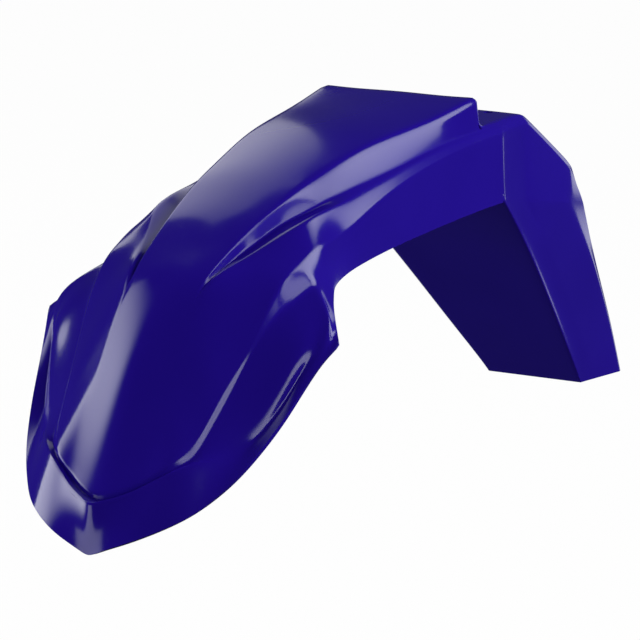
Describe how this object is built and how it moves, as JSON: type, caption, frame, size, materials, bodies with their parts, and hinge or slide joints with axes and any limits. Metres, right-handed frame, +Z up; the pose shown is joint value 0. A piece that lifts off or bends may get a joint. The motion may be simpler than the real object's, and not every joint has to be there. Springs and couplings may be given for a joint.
{
  "type": "motorcycle front mudguard",
  "caption": "Front mudguard of an off-road motorcycle: arched moulded shell with a flared nose lip, fork cut-outs, raised hood, mounting platform and rear tongue.",
  "frame": {"origin": "on top of the mounting platform, at the centre of the four fixing holes", "axes": "+X forward to the nose, +Y to the rider's left, +Z up and square to the mounting platform"},
  "size_m": [0.643, 0.2248, 0.248],
  "materials": {
    "shell": "glossy injection-moulded polypropylene, coloured right through"
  },
  "bodies": {
    "root": {"mudguard_shell": "shell"}
  },
  "joints": []
}
